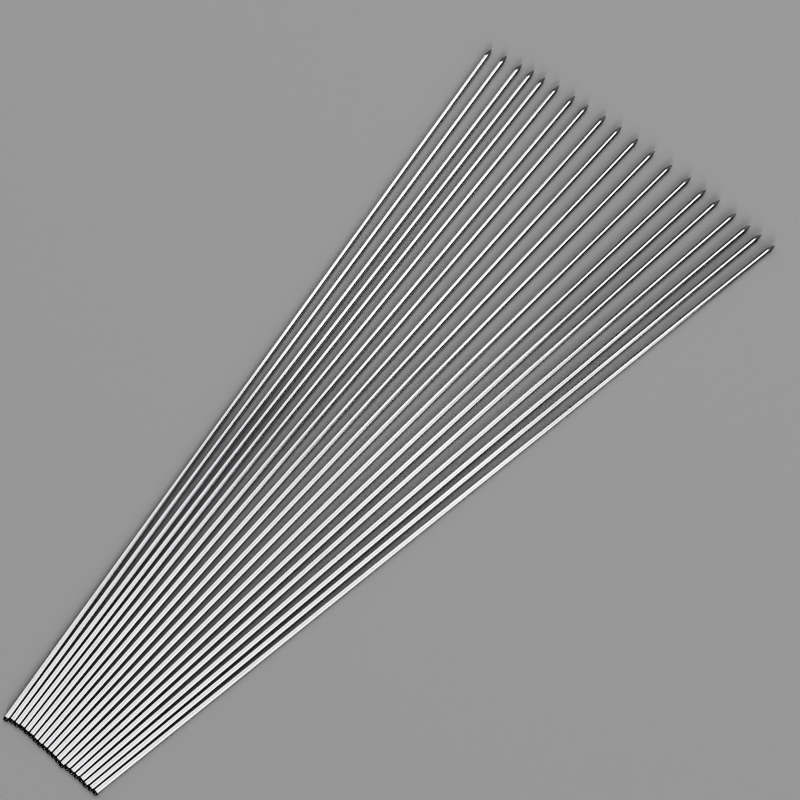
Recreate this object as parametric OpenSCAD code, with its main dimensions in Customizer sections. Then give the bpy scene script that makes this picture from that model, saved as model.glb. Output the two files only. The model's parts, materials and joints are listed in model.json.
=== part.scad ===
// A set of straight steel needles. Each one is a single length of round wire, ground to a
// point at one end and cut blunt at the other, with the blunt edge rounded over. The set
// lies flat in an open fan: blunt ends side by side, points spread.
//
// Frame: +Z up, and the set rests on the plane z = 0. +Y runs along the middle of the fan
// towards the points. The origin is under the middle of the set's own box.

/* [Needle] */
// Length of one needle, from its blunt end to its tip
needle_length = 400; // [200:5:450]
// Diameter of the wire
wire_d = 2.5; // [2:0.25:4]
// Length of the ground point, from the full wire to the tip
point_length = 4.6; // [3:0.2:12]
// Radius of the small ball left on the tip
tip_r = 0.15; // [0.05:0.05:0.4]
// How much of the wire's radius the rounding of the blunt end takes; the rest stays flat
blunt_share = 0.8; // [0.2:0.05:0.95]

/* [Fan] */
// Clear gap between one blunt end and the next
side_gap = 0.25; // [0.2:0.05:3]
// How far the fan is opened: 0 is closed, 1 is the usual spread
spread = 1; // [0:0.1:1.5]
// How unevenly the blunt ends are squared up: 0 is a level row
raggedness = 1; // [0:0.1:2]

/* [Hidden] */
// Turn from each needle to the next, in degrees: a spread made by hand, so a little uneven
turns = [0.8, 0.9, 0.6, 0.6, 0.8, 1.0, 0.8, 1.1, 1.0, 1.1, 1.1, 1.2, 1.2, 1.0, 0.8, 1.1, 0.9, 0.6, 0.8];
// Step from each blunt end to the next along the wire, towards the points
steps = [0.7, -0.1, 0.3, -0.3, 0, -0.4, -0.2, 0.2, -0.1, 0, -0.2, -0.2, 0.8, 0.3, 0.3, 0.5, 0, 0.7, 0.6];

count = len(turns) + 1;
last = count - 1;

wire_r = wire_d / 2;
blunt_round = wire_r * blunt_share;
flat_r = wire_r - blunt_round;
shoulder = needle_length - point_length;
tip_ball = needle_length - tip_r;

// Half angle of the ground cone, whose side runs off the tip ball without a step
cone_run = tip_ball - shoulder;
cone_half = atan(wire_r / cone_run) - asin(tip_r / norm([wire_r, cone_run]));
cone_end = [tip_r * cos(cone_half), tip_ball + tip_r * sin(cone_half)];

// Sum of the first n numbers of a list
function first(list, n) = n == 0 ? 0 : list[n - 1] + first(list, n - 1);

// Heading of needle i, in degrees to the right of the fan's middle line
function heading(i) = spread * (first(turns, i) - first(turns, last) / 2);
function along(i) = [sin(heading(i)), cos(heading(i))];
function beside(i) = [cos(heading(i)), -sin(heading(i))];

// Centre of each blunt end, counted from the first needle's
function blunt_end(i) =
    i == 0 ? [0, 0]
           : blunt_end(i - 1) + (wire_d + side_gap) * beside(i - 1) + raggedness * steps[i - 1] * along(i - 1);

// How far needle i reaches in the flat direction d: its rounded end, its shoulder or its tip
function reach(i, d) =
    let (a = along(i) * d, b = abs(beside(i) * d), start = blunt_end(i) * d)
    max(start + blunt_round * a + flat_r * b + blunt_round,
        start + shoulder * a + wire_r * b,
        start + tip_ball * a + tip_r);
function set_reach(d) = max([for (i = [0 : last]) reach(i, d)]);
middle = [(set_reach([1, 0]) - set_reach([-1, 0])) / 2, (set_reach([0, 1]) - set_reach([0, -1])) / 2];

// Half of the needle's outline, from its axis out to its skin, blunt end down
module half_outline() {
    intersection() {
        square([wire_r, needle_length]);
        union() {
            square([flat_r, shoulder]);
            translate([0, blunt_round]) square([wire_r, shoulder - blunt_round]);
            translate([flat_r, blunt_round]) circle(r = blunt_round, $fn = 48);
            polygon([[0, shoulder], [wire_r, shoulder], cone_end, [0, cone_end.y]]);
            translate([0, tip_ball]) circle(r = tip_r, $fn = 48);
        }
    }
}

// One needle, laid on the plane z = 0 at its place in the fan
module needle(i) {
    color("silver")
        translate([blunt_end(i).x - middle.x, blunt_end(i).y - middle.y, wire_r])
            rotate([0, 0, -heading(i)])
                rotate([-90, 0, 0])
                    rotate_extrude($fn = 64) half_outline();
}

for (i = [0 : last])
    needle(i);
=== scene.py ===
# %% [markdown]
# # A set of pointed steel needles
# Twenty straight steel needles lie on a table in an open fan, blunt ends together and points
# spread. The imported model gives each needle's place, size and motion. This lesson gives each
# one a finely turned mesh and a drawn-steel finish, and lights the set so that the polished
# metal reads as metal.

# %% Load the frame
import json
from math import asin, atan2, cos, hypot, pi, radians, sin, tan, tau

import bpy
import numpy as np
from mathutils import Matrix, Vector

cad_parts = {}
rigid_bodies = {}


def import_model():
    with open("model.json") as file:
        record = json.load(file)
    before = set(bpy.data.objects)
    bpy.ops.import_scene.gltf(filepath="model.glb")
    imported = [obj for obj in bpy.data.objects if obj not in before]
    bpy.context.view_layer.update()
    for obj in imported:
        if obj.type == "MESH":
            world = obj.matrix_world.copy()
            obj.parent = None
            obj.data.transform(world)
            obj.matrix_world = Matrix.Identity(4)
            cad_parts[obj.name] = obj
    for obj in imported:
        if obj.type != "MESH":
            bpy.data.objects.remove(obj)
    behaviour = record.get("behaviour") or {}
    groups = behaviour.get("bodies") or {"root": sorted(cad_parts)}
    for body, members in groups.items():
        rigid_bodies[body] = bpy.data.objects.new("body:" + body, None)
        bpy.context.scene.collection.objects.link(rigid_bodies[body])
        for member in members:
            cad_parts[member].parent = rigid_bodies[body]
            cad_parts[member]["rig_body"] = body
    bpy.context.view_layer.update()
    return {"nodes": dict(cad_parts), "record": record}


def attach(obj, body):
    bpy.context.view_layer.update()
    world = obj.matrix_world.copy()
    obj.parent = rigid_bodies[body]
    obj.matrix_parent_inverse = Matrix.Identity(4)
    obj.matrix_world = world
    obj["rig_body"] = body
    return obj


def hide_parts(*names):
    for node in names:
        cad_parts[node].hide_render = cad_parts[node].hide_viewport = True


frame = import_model()

# %% [markdown]
# ## Where each needle lies
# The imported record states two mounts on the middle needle, one at each end. They are as high
# as the wire's radius, and the distance between them is the length. Every other needle is a
# copy of it, turned and moved. Its axis is the long direction of its own CAD points, which a
# singular value decomposition finds without any trigonometry.

# %% Read the size and find the axes
MM = 0.001
mounts = {m["name"]: Vector(m["pos_m"]) for m in frame["record"]["mounts"]}
wire_r = mounts["blunt_end"].z
needle_length = (mounts["point_end"] - mounts["blunt_end"]).length
print("wire radius", round(wire_r / MM, 3), "mm, length", round(needle_length / MM, 1), "mm")


def needle_axis(node):
    """Blunt end and heading of a needle, as (point on the axis, unit vector towards the tip)."""
    places = np.array([v.co for v in node.data.vertices])
    middle = places.mean(axis=0)
    along = np.linalg.svd(places - middle)[2][0]
    along *= np.sign(along[1])
    start = middle + along * ((places - middle) @ along).min()
    return Vector((start[0], start[1], wire_r)), Vector((along[0], along[1], 0)).normalized()


# %% [markdown]
# ## The camera
# The camera looks steeply down from the blunt ends' right-hand side, so the fan runs from one
# corner of the picture to the other. Its place is an azimuth and an elevation around a target
# near the middle of the fan. The matrix is built from three unit vectors: right, up and back.
# A small roll turns the picture in its own plane, which a plain look-at rotation can't do.
# The near clip is close, so that a look at one point from a hand's breadth away still works.

# %% Place the camera
VIEW_AZIMUTH = radians(50.2)
VIEW_ELEVATION = radians(67.5)
VIEW_ROLL = radians(-9.0)
VIEW_DISTANCE = 0.8733
LENS_MM = 85
SENSOR_MM = 36
NEAR_CLIP = 0.01
target = Vector((4.1, 24.3, 0)) * MM

back = Vector((sin(VIEW_AZIMUTH), -cos(VIEW_AZIMUTH), tan(VIEW_ELEVATION))).normalized()
level_right = Vector((cos(VIEW_AZIMUTH), sin(VIEW_AZIMUTH), 0))
level_up = back.cross(level_right)
right = level_right * cos(VIEW_ROLL) + level_up * sin(VIEW_ROLL)
up = level_up * cos(VIEW_ROLL) - level_right * sin(VIEW_ROLL)

scene = bpy.context.scene
lens = bpy.data.cameras.new("camera")
lens.lens = LENS_MM
lens.sensor_width = SENSOR_MM
lens.clip_start = NEAR_CLIP
camera = bpy.data.objects.new("camera", lens)
scene.collection.objects.link(camera)
turn = Matrix((right, up, back)).transposed().to_4x4()
camera.matrix_world = Matrix.Translation(target + back * VIEW_DISTANCE) @ turn
scene.camera = camera
print("camera at", [round(c, 3) for c in camera.matrix_world.translation], "m")

# %% [markdown]
# ## The turned outline
# A needle is round all the way along, so one half outline says everything about its shape:
# pairs of (distance from the blunt end, radius). Real metal is never razor sharp where two
# surfaces meet. The blunt end is rounded over and keeps a small flat in the middle, the cone
# blends into the wire over a short radius, and the tip is a tiny ball. One more ring marks
# how far along the wire the blunt end is painted near-black, as painted shade.

# %% Outline of one needle
BLUNT_ROUND = 0.8 * wire_r
# How far from the blunt end its colour is painted near-black, as shade.
PAINTED_SHADE_LENGTH = 1.6 * MM
POINT_LENGTH = 4.6 * MM
TIP_R = 0.15 * MM
SHOULDER_BLEND = 1.2 * MM
RING_GAP = 5 * MM
FLAT_SHARES = (0, 0.4, 0.8)
ROUND_STEPS, BLEND_STEPS, CONE_STEPS, BALL_STEPS = 14, 6, 8, 8


def arc(centre_at, centre_r, radius, start, stop, steps):
    """Points on an arc. Angles are measured from the blunt end's direction towards the skin."""
    turns = np.linspace(start, stop, steps + 1)
    return [(centre_at - radius * cos(a), centre_r + radius * sin(a)) for a in turns]


def straight(first, last, steps):
    """Points between two others, without the two themselves."""
    shares = np.linspace(0, 1, steps + 1)[1:-1]
    return [tuple(np.array(first) * (1 - s) + np.array(last) * s) for s in shares]


def needle_outline():
    """Half outline from the middle of the blunt end to the tip, in metres."""
    flat_r = wire_r - BLUNT_ROUND
    ball_at = needle_length - TIP_R
    shoulder = needle_length - POINT_LENGTH
    run = ball_at - shoulder
    half_angle = atan2(wire_r, run) - asin(TIP_R / hypot(wire_r, run))
    wire_end = shoulder - SHOULDER_BLEND / 2
    blend_r = SHOULDER_BLEND / 2 / tan(half_angle / 2)

    flat = [(0, flat_r * share) for share in FLAT_SHARES]
    rounding = arc(BLUNT_ROUND, flat_r, BLUNT_ROUND, 0, pi / 2, ROUND_STEPS)
    rings = round((wire_end - PAINTED_SHADE_LENGTH) / RING_GAP)
    wire = [(PAINTED_SHADE_LENGTH, wire_r)] + straight((PAINTED_SHADE_LENGTH, wire_r), (wire_end, wire_r), rings)
    cone_turn = pi / 2 + half_angle
    blend = arc(wire_end, wire_r - blend_r, blend_r, pi / 2, cone_turn, BLEND_STEPS)
    ball = arc(ball_at, 0, TIP_R, cone_turn, pi, BALL_STEPS)
    cone = straight(blend[-1], ball[0], CONE_STEPS)
    return flat + rounding + wire + blend + cone + ball


outline = needle_outline()
print(len(outline), "points in the outline, tip at", round(outline[-1][0] / MM, 3), "mm")

# %% [markdown]
# ## From outline to mesh
# Turning the outline about the axis gives the skin: a ring of vertices for each point of the
# outline, quads between the rings, and a fan of triangles where each end closes. The needle
# is modelled along its own Y axis, so that the finish can follow the wire. Three finishes
# meet on one needle, and each face takes the one that belongs to its place along the axis:
# the blunt end, painted near-black as shade, the drawn wire and the ground point. Each mesh
# also carries a number of its own, `piece_mark`, so that no two needles show the same lines and
# smudges.

# %% Turn the outline into a mesh
SEGMENTS = 48
# The first finish index is the blunt end, whose colour is painted near-black as shade.
PAINTED_SHADE_CAP, DRAWN, GROUND = 0, 1, 2
MARK_RANGE = 100
mark_draw = np.random.default_rng(20)


def finish_of(at):
    """Which of the three finishes the skin has at this distance from the blunt end."""
    if at < PAINTED_SHADE_LENGTH:
        return PAINTED_SHADE_CAP
    return GROUND if at > needle_length - POINT_LENGTH else DRAWN


def turned_mesh(name, points):
    """A closed mesh of revolution about the local Y axis."""
    inner = points[1:-1]
    angles = [tau * k / SEGMENTS for k in range(SEGMENTS)]
    verts = [(r * sin(a), at, -r * cos(a)) for at, r in inner for a in angles]
    start, end = len(verts), len(verts) + 1
    verts += [(0, points[0][0], 0), (0, points[-1][0], 0)]
    faces, finishes = [], []
    for ring in range(len(inner) - 1):
        finish = finish_of((inner[ring][0] + inner[ring + 1][0]) / 2)
        for k in range(SEGMENTS):
            a, b = ring * SEGMENTS + k, ring * SEGMENTS + (k + 1) % SEGMENTS
            faces.append((a, b, b + SEGMENTS, a + SEGMENTS))
            finishes.append(finish)
    final = (len(inner) - 1) * SEGMENTS
    for k in range(SEGMENTS):
        after = (k + 1) % SEGMENTS
        faces += [(start, after, k), (end, final + k, final + after)]
        finishes += [PAINTED_SHADE_CAP, GROUND]
    mesh = bpy.data.meshes.new(name)
    mesh.from_pydata(verts, [], faces)
    mesh.polygons.foreach_set("material_index", finishes)
    mesh.shade_smooth()
    mark = mesh.attributes.new("piece_mark", "FLOAT", "POINT")
    mark.data.foreach_set("value", np.full(len(verts), mark_draw.uniform(0, MARK_RANGE)))
    return mesh


# %% [markdown]
# ## Effects as node groups
# The three finishes share three effects, so each effect is a node group, built once:
# - `tool_lines` makes the fine parallel lines that a die or a grinding wheel leaves. It
#   stretches noise along one direction by scaling the coordinates unevenly.
# - `handling` makes broad soft patches, where fingers and cloth have dulled the polish.
# - `fine_pits` makes small scattered pits and dust-like dots, from a cell texture.
# A group is a small machine with named inputs and outputs. It puts out only values, and each
# material decides what to do with them.

# %% Helpers for node trees


def add(tree, kind, place, **settings):
    """A new node of this kind, at a place in the editor, with its settings."""
    node = tree.nodes.new("ShaderNode" + kind)
    node.location = place
    for key, value in settings.items():
        setattr(node, key, value)
    return node


def new_group(name, inputs, output):
    """An empty node group with named number inputs and one output."""
    tree = bpy.data.node_groups.new(name, "ShaderNodeTree")
    for socket_name, default in inputs.items():
        socket = tree.interface.new_socket(socket_name, in_out="INPUT", socket_type="NodeSocketFloat")
        socket.default_value = default
    tree.interface.new_socket(output, in_out="OUTPUT", socket_type="NodeSocketFloat")
    return tree, add_end(tree, "NodeGroupInput", -700), add_end(tree, "NodeGroupOutput", 500)


def add_end(tree, kind, x):
    """A group's own input or output node."""
    node = tree.nodes.new(kind)
    node.location = (x, 0)
    return node


def needle_coordinates(tree):
    """Coordinates that follow the wire, with Y along it, and the needle's own mark."""
    place = add(tree, "TexCoord", (-700, 200))
    mark = add(tree, "Attribute", (-700, -250), attribute_name="piece_mark")
    return place.outputs["Object"], mark.outputs["Fac"]


# %% [markdown]
# ## The tool lines
# The noise is four-dimensional: three for the place, and the needle's mark as the fourth.
# `Across` and `Along` say how many features there are in a metre, across the lines and along
# them. Drawn wire has lines along it, so Across is large and Along is small. A ground cone
# has rings round it, so it is the other way about.

# %% Group: tool lines
TOOL_LINES_INPUTS = {"Across": 9000, "Along": 12, "Sharpness": 1}
tool_lines, group_in, group_out = new_group("tool_lines", TOOL_LINES_INPUTS, "Lines")
place, mark = needle_coordinates(tool_lines)
stretch = add(tool_lines, "CombineXYZ", (-500, 0))
scaled = add(tool_lines, "VectorMath", (-300, 100), operation="MULTIPLY")
noise = add(tool_lines, "TexNoise", (-100, 100), noise_dimensions="4D")
noise.inputs["Scale"].default_value = 1
noise.inputs["Detail"].default_value = 3
noise.inputs["Roughness"].default_value = 0.65
centred = add(tool_lines, "Math", (100, 100), operation="SUBTRACT")
centred.inputs[1].default_value = 0.5
spread = add(tool_lines, "Math", (220, 0), operation="MULTIPLY")
lifted = add(tool_lines, "Math", (360, 0), operation="ADD", use_clamp=True)
lifted.inputs[1].default_value = 0.5
link = tool_lines.links.new
link(group_in.outputs["Across"], stretch.inputs["X"])
link(group_in.outputs["Along"], stretch.inputs["Y"])
link(group_in.outputs["Across"], stretch.inputs["Z"])
link(place, scaled.inputs[0])
link(stretch.outputs[0], scaled.inputs[1])
link(scaled.outputs[0], noise.inputs["Vector"])
link(mark, noise.inputs["W"])
link(noise.outputs["Fac"], centred.inputs[0])
link(centred.outputs[0], spread.inputs[0])
link(group_in.outputs["Sharpness"], spread.inputs[1])
link(spread.outputs[0], lifted.inputs[0])
link(lifted.outputs[0], group_out.inputs["Lines"])
print("group tool_lines has", len(tool_lines.nodes), "nodes")

# %% [markdown]
# ## The handling marks
# Polish doesn't dull evenly. Soft patches a few centimetres long, a little stretched along
# the wire, are duller where fingers hold it. Two thresholds on a slow noise give patches
# with soft edges and leave clean metal between them.

# %% Group: handling
handling, group_in, group_out = new_group("handling", {"Patches": 60, "Coverage": 0.5}, "Dulled")
place, mark = needle_coordinates(handling)
scaled = add(handling, "VectorMath", (-300, 100), operation="MULTIPLY")
scaled.inputs[1].default_value = (8, 1, 8)
noise = add(handling, "TexNoise", (-100, 100), noise_dimensions="4D")
noise.inputs["Detail"].default_value = 4
noise.inputs["Roughness"].default_value = 0.6
threshold = add(handling, "Math", (-100, -200), operation="SUBTRACT")
threshold.inputs[0].default_value = 1
soft = add(handling, "MapRange", (150, 0), interpolation_type="SMOOTHSTEP")
top = add(handling, "Math", (20, -200), operation="ADD")
top.inputs[1].default_value = 0.25
link = handling.links.new
link(place, scaled.inputs[0])
link(scaled.outputs[0], noise.inputs["Vector"])
link(mark, noise.inputs["W"])
link(group_in.outputs["Patches"], noise.inputs["Scale"])
link(group_in.outputs["Coverage"], threshold.inputs[1])
link(threshold.outputs[0], top.inputs[0])
link(noise.outputs["Fac"], soft.inputs["Value"])
link(threshold.outputs[0], soft.inputs["From Min"])
link(top.outputs[0], soft.inputs["From Max"])
link(soft.outputs["Result"], group_out.inputs["Dulled"])
print("group handling has", len(handling.nodes), "nodes")

# %% [markdown]
# ## The fine pits
# A cell texture measures the distance to the nearest of many scattered points. Only the
# places very near a point become pits, and another noise decides which of them are deep.

# %% Group: fine pits
fine_pits, group_in, group_out = new_group("fine_pits", {"Per Metre": 1500, "Size": 0.25}, "Pits")
place, mark = needle_coordinates(fine_pits)
cells = add(fine_pits, "TexVoronoi", (-300, 100), voronoi_dimensions="4D")
choice = add(fine_pits, "TexNoise", (-300, -250), noise_dimensions="4D")
choice.inputs["Scale"].default_value = 400
near = add(fine_pits, "MapRange", (0, 100), interpolation_type="SMOOTHSTEP")
near.inputs["From Min"].default_value = 0
near.inputs["To Min"].default_value = 1
near.inputs["To Max"].default_value = 0
deep = add(fine_pits, "MapRange", (0, -250))
deep.inputs["From Min"].default_value = 0.45
deep.inputs["From Max"].default_value = 0.65
both = add(fine_pits, "Math", (250, 0), operation="MULTIPLY")
link = fine_pits.links.new
link(place, cells.inputs["Vector"])
link(mark, cells.inputs["W"])
link(group_in.outputs["Per Metre"], cells.inputs["Scale"])
link(place, choice.inputs["Vector"])
link(mark, choice.inputs["W"])
link(cells.outputs["Distance"], near.inputs["Value"])
link(group_in.outputs["Size"], near.inputs["From Max"])
link(choice.outputs["Fac"], deep.inputs["Value"])
link(near.outputs["Result"], both.inputs[0])
link(deep.outputs["Result"], both.inputs[1])
link(both.outputs[0], group_out.inputs["Pits"])
print("group fine_pits has", len(fine_pits.nodes), "nodes")

# %% [markdown]
# ## A steel, ready for its finish
# All three finishes are bare steel, so they start from the same set-up: a metallic shader
# whose colour and roughness go from clean to lined to dulled by the effects' outputs, with
# the lines and the pits as two bumps, one on the other. `steel_finish` builds that set-up
# once, and each finish gives it its own values. EDGE_TINT is for the look: it keeps the
# reflections near a rod's silhouette darker than bare steel's would be, which gives the
# hard dark edges of a product picture.

# %% Build one steel finish
EDGE_TINT = (0.6, 0.6, 0.61, 1)
NODE_GAP = 180


def place_group(tree, group, place, **values):
    """A copy of an effect in a material, with its own values; underscores stand for spaces."""
    node = add(tree, "Group", place, node_tree=group)
    for key, value in values.items():
        node.inputs[key.replace("_", " ")].default_value = value
    return node.outputs[0]


def mixed_colour(tree, place, share, clean, marked):
    """A colour that goes from clean to marked as the share goes from 0 to 1."""
    mix = add(tree, "Mix", place, data_type="RGBA")
    mix.inputs["A"].default_value = (*clean, 1)
    mix.inputs["B"].default_value = (*marked, 1)
    tree.links.new(share, mix.inputs["Factor"])
    return mix.outputs["Result"]


def steel_finish(name, colours, roughness, lines, dulling, pits, depths):
    """A bare steel finish. colours and roughness are (clean, lined, dulled)."""
    material = bpy.data.materials.new(name)
    material.use_nodes = True
    tree = material.node_tree
    shader = tree.nodes["Principled BSDF"]
    shader.inputs["Specular Tint"].default_value = EDGE_TINT
    shader.inputs["Metallic"].default_value = 1
    fine = place_group(tree, tool_lines, (-900, 200), **lines)
    dull = place_group(tree, handling, (-900, -50), **dulling)
    spots = place_group(tree, fine_pits, (-900, -300), **pits)

    lined = mixed_colour(tree, (-600, 350), fine, colours[0], colours[1])
    worn = add(tree, "Mix", (-350, 350), data_type="RGBA")
    worn.inputs["B"].default_value = (*colours[2], 1)
    tree.links.new(lined, worn.inputs["A"])
    tree.links.new(dull, worn.inputs["Factor"])
    tree.links.new(worn.outputs["Result"], shader.inputs["Base Color"])

    rough_lines = add(tree, "MapRange", (-600, 50))
    rough_lines.inputs["To Min"].default_value = roughness[0]
    rough_lines.inputs["To Max"].default_value = roughness[1]
    rough = add(tree, "Mix", (-350, 50), data_type="FLOAT")
    rough.inputs["B"].default_value = roughness[2]
    tree.links.new(fine, rough_lines.inputs["Value"])
    tree.links.new(rough_lines.outputs["Result"], rough.inputs["A"])
    tree.links.new(dull, rough.inputs["Factor"])
    tree.links.new(rough.outputs["Result"], shader.inputs["Roughness"])

    bumps = None
    relief = (fine, depths[0], False), (spots, depths[1], True)
    for at, (effect, depth, invert) in enumerate(relief):
        bump = add(tree, "Bump", (-350 + NODE_GAP * at, -250), invert=invert)
        bump.inputs["Distance"].default_value = depth
        bump.inputs["Strength"].default_value = 1
        tree.links.new(effect, bump.inputs["Height"])
        if bumps:
            tree.links.new(bumps, bump.inputs["Normal"])
        bumps = bump.outputs["Normal"]
    tree.links.new(bumps, shader.inputs["Normal"])
    return material


# %% [markdown]
# ## The drawn wire
# Stainless wire gets its shine from the die that it is pulled through, which leaves it
# smooth round the wire and marks it with hair lines along its length. The colour is a
# neutral steel grey, a little warmer and darker where hands have dulled it.

# %% The drawn wire's finish
drawn_wire = steel_finish(
    "drawn_wire",
    colours=((0.66, 0.66, 0.67), (0.58, 0.58, 0.59), (0.52, 0.515, 0.51)),
    roughness=(0.09, 0.15, 0.2),
    lines={"Across": 9000, "Along": 12, "Sharpness": 1.6},
    dulling={"Patches": 30, "Coverage": 0.45},
    pits={"Per_Metre": 1500, "Size": 0.22},
    depths=(0.0006 * MM, 0.004 * MM),
)

# %% [markdown]
# ## The ground point
# The cone is ground across the wire while the needle turns, which leaves fine rings round
# it. The rings scatter the light, so the cone is rougher and clearly darker than the wire.

# %% The ground point's finish
ground_point = steel_finish(
    "ground_point",
    colours=((0.36, 0.36, 0.36), (0.29, 0.29, 0.3), (0.3, 0.297, 0.293)),
    roughness=(0.28, 0.36, 0.34),
    lines={"Across": 150, "Along": 14000, "Sharpness": 2},
    dulling={"Patches": 200, "Coverage": 0.45},
    pits={"Per_Metre": 3000, "Size": 0.2},
    depths=(0.0012 * MM, 0.003 * MM),
)

# %% [markdown]
# ## The blunt end's painted shade
# The blunt end is cut off and tumbled, but never polished. Its colour is painted near-black
# as shade, which makes the ends a dark row in the fan, each with one small highlight from the end
# lamp.

# %% The blunt end's finish, painted near-black as shade
painted_shade_end = steel_finish(
    "painted_shade_end",
    colours=((0.07, 0.07, 0.071), (0.05, 0.05, 0.05), (0.07, 0.069, 0.067)),
    roughness=(0.14, 0.22, 0.25),
    lines={"Across": 2500, "Along": 2500, "Sharpness": 1.5},
    dulling={"Patches": 500, "Coverage": 0.4},
    pits={"Per_Metre": 4000, "Size": 0.3},
    depths=(0.001 * MM, 0.004 * MM),
)
finishes_in_order = (painted_shade_end, drawn_wire, ground_point)
print("finishes:", [m.name for m in finishes_in_order])

# %% [markdown]
# ## Twenty needles
# Each needle is a new object on its CAD node's axis. It rides on the node's body, so that it
# lifts with it, and stands for the plain CAD needle, which stays hidden for the physics.

# %% Lay the needles out
for name, node in frame["nodes"].items():
    start, along = needle_axis(node)
    piece = bpy.data.objects.new(name + "_wire", turned_mesh(name + "_wire", outline))
    scene.collection.objects.link(piece)
    heading = Matrix.Rotation(-atan2(along.x, along.y), 4, "Z")
    piece.matrix_world = Matrix.Translation(start) @ heading
    for finish in finishes_in_order:
        piece.data.materials.append(finish)
    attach(piece, node["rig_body"])
    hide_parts(name)
print(len(frame["nodes"]), "needles with", len(piece.data.polygons), "faces each")

# %% [markdown]
# ## The table
# The needles lie on a plain pale table with a matt paint. Polished wire shows the table in
# its sides, so the table's grey is as much a part of the needles' look as the lights are.
# It sits a hair below the needles, so that the two never share a surface. A slow noise goes
# between two greys that are almost the same, as no real table is quite even.

# %% The table top
TABLE_SIDE = 3.2
TABLE_DROP = 0.02 * MM
PALE_GREYS = (0.3, 0.3, 0.305), (0.325, 0.325, 0.325)
PAINT_ROUGHNESS = 0.65
PAINT_SPECULAR = 0.15
CLOUDS_PER_METRE = 0.4


def flat_square(name, side, z):
    """A square that faces up."""
    half = side / 2
    corners = [(-half, -half, z), (half, -half, z), (half, half, z), (-half, half, z)]
    mesh = bpy.data.meshes.new(name)
    mesh.from_pydata(corners, [], [(0, 1, 2, 3)])
    square = bpy.data.objects.new(name, mesh)
    scene.collection.objects.link(square)
    return square


table_top = flat_square("table_top", TABLE_SIDE, -TABLE_DROP)
pale_paint = bpy.data.materials.new("pale_paint")
pale_paint.use_nodes = True
paint_tree = pale_paint.node_tree
paint_shader = paint_tree.nodes["Principled BSDF"]
paint_shader.inputs["Specular IOR Level"].default_value = PAINT_SPECULAR
paint_shader.inputs["Roughness"].default_value = PAINT_ROUGHNESS
cloudy = add(paint_tree, "TexNoise", (-600, 100))
cloudy.inputs["Scale"].default_value = CLOUDS_PER_METRE
paint_place = add(paint_tree, "TexCoord", (-800, 100))
paint_tree.links.new(paint_place.outputs["Object"], cloudy.inputs["Vector"])
paint_colour = mixed_colour(paint_tree, (-300, 100), cloudy.outputs["Fac"], *PALE_GREYS)
paint_tree.links.new(paint_colour, paint_shader.inputs["Base Color"])
table_top.data.materials.append(pale_paint)

# %% [markdown]
# ## The lights
# A polished rod is a mirror that shows a thin slice of the whole room. Its bright stripe is
# the picture of the lights, its dark edges are the picture of the unlit room, and each
# border is as sharp as the lamp that makes it. So big soft boxes give wide even stripes,
# and the gaps between the boxes are what draws the dark lines. Each box is placed by the
# direction and angle that it fills as seen from the needles, or hangs level at a height of
# its own. Its power follows from its area, so that `radiance` is how bright it looks,
# whatever its size. The lamps to the sides stand far off, so that the table near them
# doesn't burn out.

# %% Helper: a soft box
LIGHT_DISTANCE = 8.0
OVERHEAD = 2.0


def sideways(azimuth, elevation):
    """A place for a lamp, by its direction from the set: degrees from +X towards +Y, and up."""
    a, e = radians(azimuth), radians(elevation)
    return LIGHT_DISTANCE * Vector((cos(e) * cos(a), cos(e) * sin(a), sin(e)))


def filling(wide, high):
    """The sides of a lamp that fills these angles, in degrees, as seen from the set."""
    return [2 * LIGHT_DISTANCE * tan(radians(angle / 2)) for angle in (wide, high)]


def soft_box(name, place, sides, radiance, level=False):
    """A rectangular lamp that faces the set, or hangs level above it and shines down."""
    lamp = bpy.data.lights.new(name, "AREA")
    lamp.shape = "RECTANGLE"
    lamp.size, lamp.size_y = sides
    lamp.energy = radiance * pi * lamp.size * lamp.size_y
    box = bpy.data.objects.new(name, lamp)
    scene.collection.objects.link(box)
    box.location = place
    if not level:
        box.rotation_mode = "QUATERNION"
        box.rotation_quaternion = place.to_track_quat("Z", "Y")
    print(name, round(lamp.size, 2), "x", round(lamp.size_y, 2), "m,", round(lamp.energy, 1), "W")


# %% [markdown]
# ## The studio
# Three level boxes hang overhead: a wide one over the fan, a large one beyond it to the
# left, and a corner that fills in on the right. A tall box stands on the right and a
# narrower one on the left. Between the right box and the corner the room is dark, and that
# gap draws a dark edge along the far half of each needle. Low on the blunt ends' side one
# small strong lamp sets a spark on each rounded end. Two dim walls, one beyond the points
# and one on the blunt ends' side, are there for low views, in which polished steel would
# otherwise show nothing but the dark.

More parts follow.
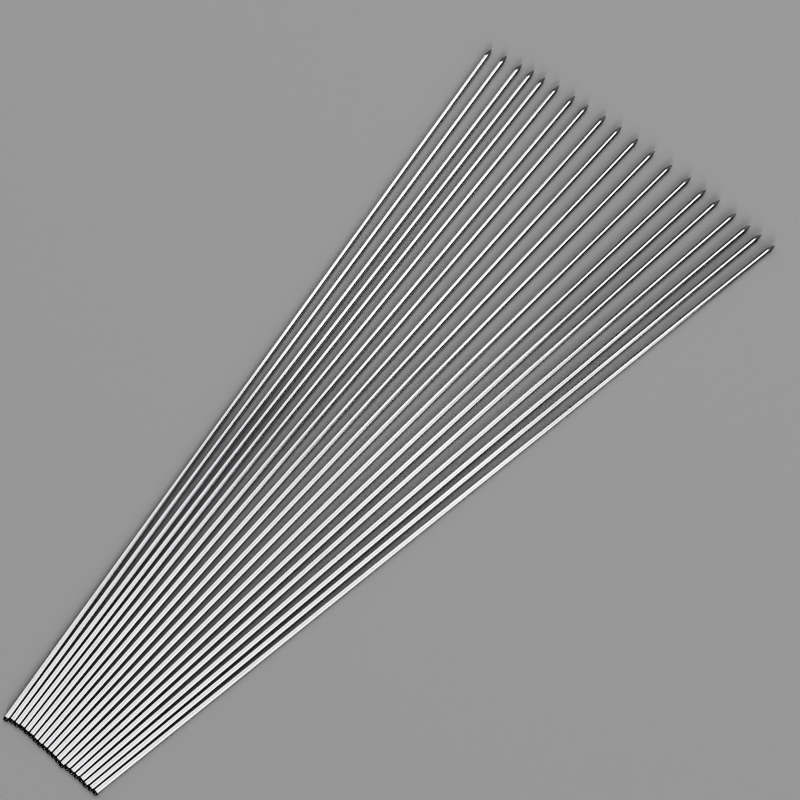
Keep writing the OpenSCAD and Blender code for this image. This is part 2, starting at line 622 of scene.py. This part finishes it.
# %% Light the set
soft_box("overhead_box", Vector((-0.33, -0.02, OVERHEAD)), (2.4, 0.96), radiance=1.0, level=True)
soft_box("far_box", Vector((-0.68, 1.46, OVERHEAD)), (1.76, 2.0), radiance=1.75, level=True)
soft_box("far_corner_box", Vector((0.64, 1.56, OVERHEAD)), (0.84, 1.8), radiance=1.75, level=True)
soft_box("right_box", sideways(-9, 33), filling(42, 62), radiance=1.45)
soft_box("left_box", sideways(173, 26), filling(32, 44), radiance=1.5)
soft_box("end_lamp", sideways(-58, 16), filling(16, 16), radiance=34)
soft_box("far_wall", sideways(88, 17), filling(96, 30), radiance=0.35)
soft_box("near_wall", sideways(-85, 31), filling(104, 58), radiance=0.4)

# %% [markdown]
# ## The room and the tone
# The room around the lamps is nearly black, for the metal's sake. A low view would show that
# as a black horizon, so what the camera sees directly is a pale backdrop instead. The tone
# curve is that of a hard product picture: it takes dark greys down almost to black, darkens
# the middle a touch, and lifts the light greys a little.

# %% The room and the tone curve
ROOM_GREY = (0.05, 0.05, 0.05, 1)
BACKDROP_GREY = (0.32, 0.32, 0.32, 1)
TONE_POINTS = (0.11, 0.03), (0.28, 0.245), (0.7, 0.74)
ALL_CHANNELS = 3

world = bpy.data.worlds.new("studio_room")
scene.world = world
world.use_nodes = True
room_tree = world.node_tree
room = room_tree.nodes["Background"]
room.inputs["Color"].default_value = ROOM_GREY
backdrop = add(room_tree, "Background", (0, -200))
backdrop.inputs["Color"].default_value = BACKDROP_GREY
seen = add(room_tree, "LightPath", (-250, 250))
choose = add(room_tree, "MixShader", (250, 0))
link = room_tree.links.new
link(seen.outputs["Is Camera Ray"], choose.inputs["Fac"])
link(room.outputs[0], choose.inputs[1])
link(backdrop.outputs[0], choose.inputs[2])
link(choose.outputs[0], room_tree.nodes["World Output"].inputs["Surface"])

view = scene.view_settings
view.view_transform = "Standard"
view.use_curve_mapping = True
tone = view.curve_mapping
tone.initialize()
for grey, shown in TONE_POINTS:
    tone.curves[ALL_CHANNELS].points.new(grey, shown)
tone.update()
print("tone curve with", len(tone.curves[ALL_CHANNELS].points), "points")
